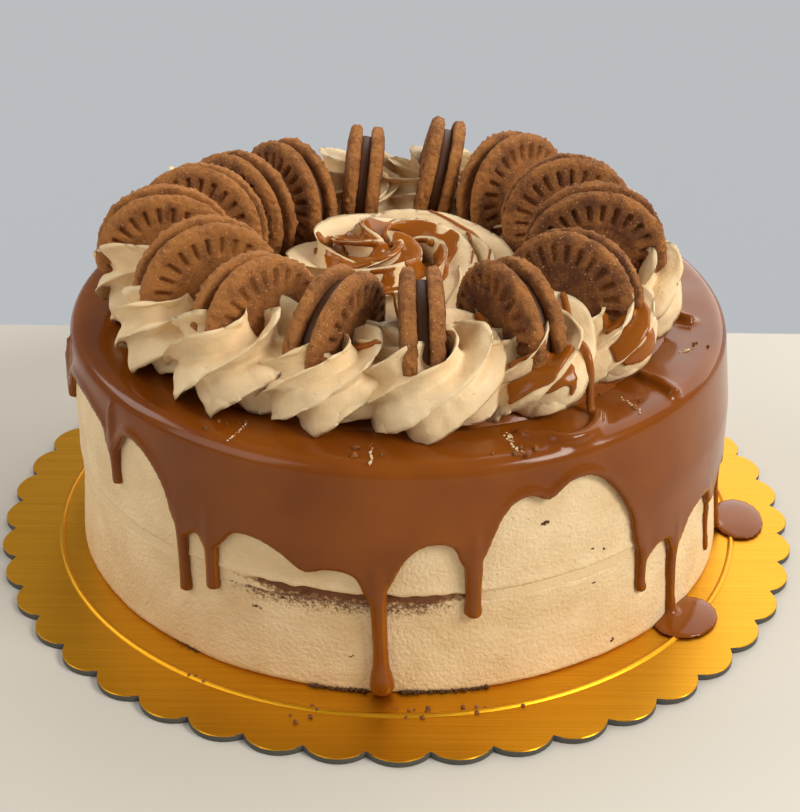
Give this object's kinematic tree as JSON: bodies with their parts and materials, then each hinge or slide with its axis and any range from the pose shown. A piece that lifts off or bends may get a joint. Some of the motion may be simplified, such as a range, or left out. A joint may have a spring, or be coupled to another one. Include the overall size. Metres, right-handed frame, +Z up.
{
  "type": "caramel drip cake",
  "caption": "Round buttercream cake with a caramel drip glaze, piped swirls and standing sandwich biscuits, on a scalloped gold board.",
  "frame": {"origin": "middle of the cake board's underside", "axes": "+Z up; the side seen in the picture faces -Y and +X is to its right"},
  "size_m": [0.2496, 0.2498, 0.1167],
  "materials": {
    "board": "gold foil, satin",
    "cream": "smoothed buttercream",
    "sponge": "dark sponge crumb",
    "caramel": "glossy caramel sauce",
    "biscuit": "baked spiced biscuit"
  },
  "bodies": {
    "root": {"cake_board": "board", "cake_lower": "cream", "sponge_layer": "sponge", "cake_upper": "cream", "caramel_glaze": "caramel", "centre_rosette": "cream", "swirl_01": "cream", "biscuit_01": "biscuit", "swirl_02": "cream", "biscuit_02": "biscuit", "swirl_03": "cream", "biscuit_03": "biscuit", "swirl_04": "cream", "biscuit_04": "biscuit", "swirl_05": "cream", "biscuit_05": "biscuit", "swirl_06": "cream", "biscuit_06": "biscuit", "swirl_07": "cream", "biscuit_07": "biscuit", "swirl_08": "cream", "biscuit_08": "biscuit", "swirl_09": "cream", "biscuit_09": "biscuit", "swirl_10": "cream", "biscuit_10": "biscuit", "swirl_11": "cream", "biscuit_11": "biscuit", "swirl_12": "cream", "biscuit_12": "biscuit", "swirl_13": "cream", "biscuit_13": "biscuit", "swirl_14": "cream", "biscuit_14": "biscuit", "swirl_15": "cream", "biscuit_15": "biscuit"}
  },
  "joints": []
}
